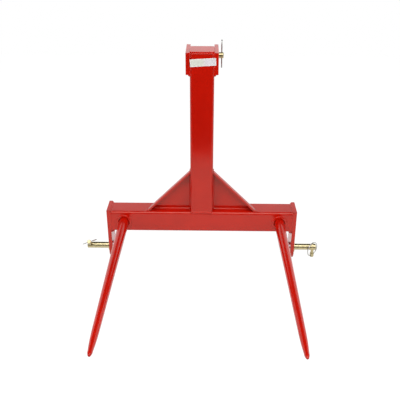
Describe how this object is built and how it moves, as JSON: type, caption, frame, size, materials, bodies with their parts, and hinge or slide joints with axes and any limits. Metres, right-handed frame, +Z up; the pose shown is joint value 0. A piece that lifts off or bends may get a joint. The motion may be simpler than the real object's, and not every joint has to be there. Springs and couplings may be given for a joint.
{
  "type": "bale spear",
  "caption": "Three-point hitch bale spear: tubular crossbeam with parallel tapered tines, a braced mast with a clevis head, and pinned lower hitch plates.",
  "frame": {"origin": "middle of the common axis of the two lower hitch pins", "axes": "+X to the right seen from the tines' tips, along the hitch pins; +Y towards the tractor; +Z up along the mast; the tines point to -Y"},
  "size_m": [0.8559, 0.822, 0.7636],
  "materials": {
    "red_paint": "gloss",
    "clear_zinc": "satin",
    "yellow_zinc": "satin",
    "spring_wire": "satin"
  },
  "bodies": {
    "frame": {"crossbeam": "red_paint", "ear_left": "red_paint", "ear_right": "red_paint", "end_plate_left": "red_paint", "end_plate_right": "red_paint", "gusset_left": "red_paint", "gusset_right": "red_paint", "hitch_nut_left": "clear_zinc", "hitch_nut_right": "clear_zinc", "hitch_pin_left": "yellow_zinc", "hitch_pin_right": "yellow_zinc", "lock_washer_left": "clear_zinc", "lock_washer_right": "clear_zinc", "lynch_pin_left": "yellow_zinc", "lynch_pin_right": "yellow_zinc", "mast": "red_paint", "mast_cap": "red_paint", "tine_left": "red_paint", "tine_nut_left": "clear_zinc", "tine_nut_right": "clear_zinc", "tine_right": "red_paint", "tine_sleeve_left": "red_paint", "tine_sleeve_right": "red_paint", "tine_washer_left": "clear_zinc", "tine_washer_right": "clear_zinc", "top_pin": "yellow_zinc", "top_pin_clip": "spring_wire"},
    "lynch_ring_left": {"lynch_ring_left": "spring_wire"},
    "lynch_ring_right": {"lynch_ring_right": "spring_wire"}
  },
  "joints": [
    {"name": "lynch_ring_left_swing", "type": "hinge", "parent": "frame", "child": "lynch_ring_left", "pos_m": [-0.403, -0.02394, 0.02622], "axis": [0.933, 0.2658, 0.2427], "range_deg": [-8, 180]},
    {"name": "lynch_ring_right_swing", "type": "hinge", "parent": "frame", "child": "lynch_ring_right", "pos_m": [0.403, 0, -0.0355], "axis": [0.7431, 0.6691, 0], "range_deg": [0, 180]}
  ]
}
